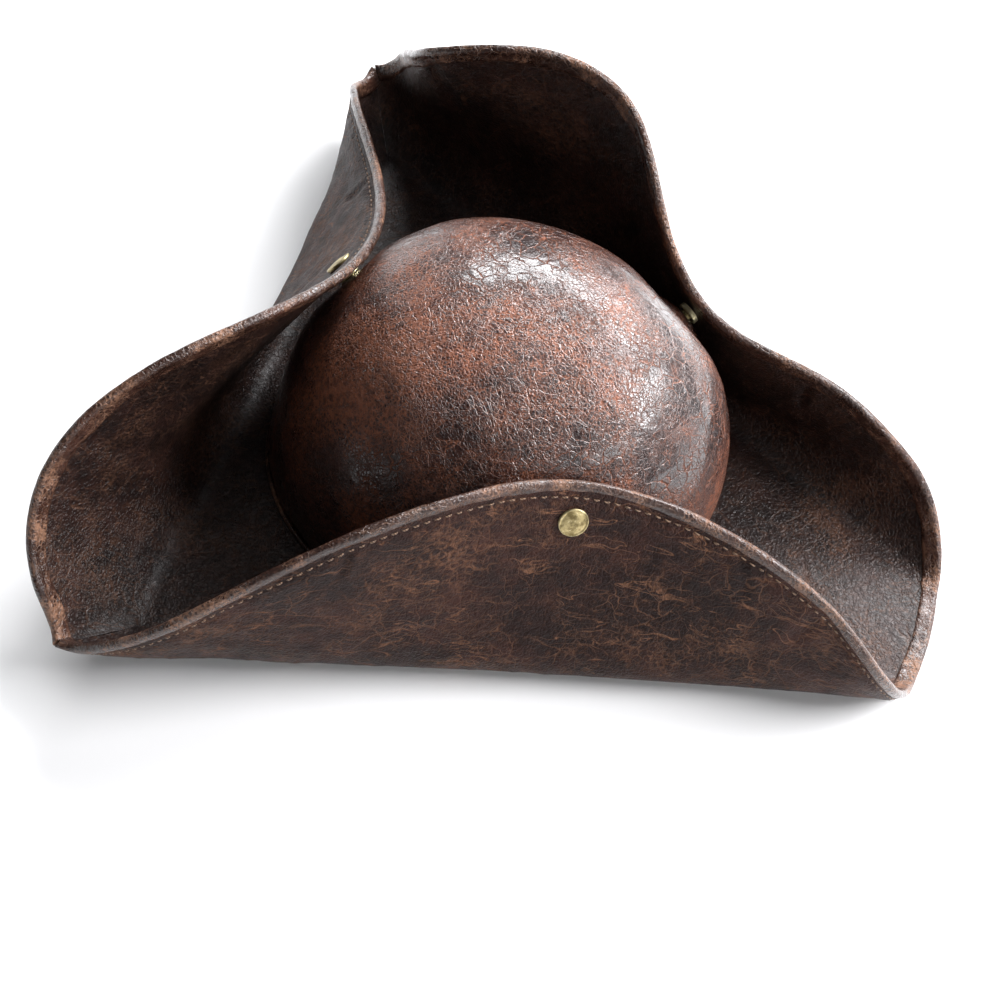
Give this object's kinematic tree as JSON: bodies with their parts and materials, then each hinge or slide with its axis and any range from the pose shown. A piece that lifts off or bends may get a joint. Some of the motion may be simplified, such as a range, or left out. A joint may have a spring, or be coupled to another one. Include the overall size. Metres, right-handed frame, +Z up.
{
  "type": "three-cornered costume hat",
  "caption": "Three-cornered costume hat in distressed faux leather, with an oval domed crown and turned-up brim flaps held to the crown by press studs.",
  "frame": {"origin": "centre of the head opening at the underside of the brim's flat floor", "axes": "+X towards the front point, -Y the wearer's right, +Z up through the crown"},
  "size_m": [0.3948, 0.3547, 0.1204],
  "materials": {
    "crown_leather": "glossy, crackled",
    "brim_leather": "semi-matt, scuffed",
    "edge_leather": "worn gloss",
    "thread": "matt",
    "lining_fabric": "matt",
    "sweatband_fabric": "matt",
    "stiffener_felt": "matt",
    "antique_brass": "aged satin"
  },
  "bodies": {
    "back_flap": {"back_flap_binding": "edge_leather", "back_flap_core": "stiffener_felt", "back_flap_inner_leather": "brim_leather", "back_flap_outer_leather": "brim_leather", "back_flap_stitching": "thread", "back_snap_cap": "antique_brass", "back_snap_socket": "antique_brass"},
    "crown_and_floor": {"back_snap_post": "antique_brass", "back_snap_stud": "antique_brass", "crown_lining": "lining_fabric", "crown_shell": "crown_leather", "crown_stiffener": "stiffener_felt", "floor_core": "stiffener_felt", "floor_lower_leather": "brim_leather", "floor_upper_leather": "brim_leather", "front_point_binding": "edge_leather", "left_snap_post": "antique_brass", "left_snap_stud": "antique_brass", "right_snap_post": "antique_brass", "right_snap_stud": "antique_brass", "sweatband": "sweatband_fabric"},
    "left_flap": {"left_flap_binding": "edge_leather", "left_flap_core": "stiffener_felt", "left_flap_inner_leather": "brim_leather", "left_flap_outer_leather": "brim_leather", "left_flap_stitching": "thread", "left_snap_cap": "antique_brass", "left_snap_socket": "antique_brass"},
    "right_flap": {"right_flap_binding": "edge_leather", "right_flap_core": "stiffener_felt", "right_flap_inner_leather": "brim_leather", "right_flap_outer_leather": "brim_leather", "right_flap_stitching": "thread", "right_snap_cap": "antique_brass", "right_snap_socket": "antique_brass"}
  },
  "joints": [
    {"name": "right_flap_fold", "type": "hinge", "parent": "crown_and_floor", "child": "right_flap", "pos_m": [-0.01113, -0.10249, 0.00451], "axis": [0.9942, -0.108, 0], "range_deg": [0, 80]},
    {"name": "left_flap_fold", "type": "hinge", "parent": "crown_and_floor", "child": "left_flap", "pos_m": [0.07963, 0.07145, 0.00451], "axis": [-0.6678, 0.7443, 0], "range_deg": [0, 80]},
    {"name": "back_flap_fold", "type": "hinge", "parent": "crown_and_floor", "child": "back_flap", "pos_m": [-0.107, 0.04876, 0.00451], "axis": [-0.4147, -0.91, 0], "range_deg": [0, 80]}
  ]
}
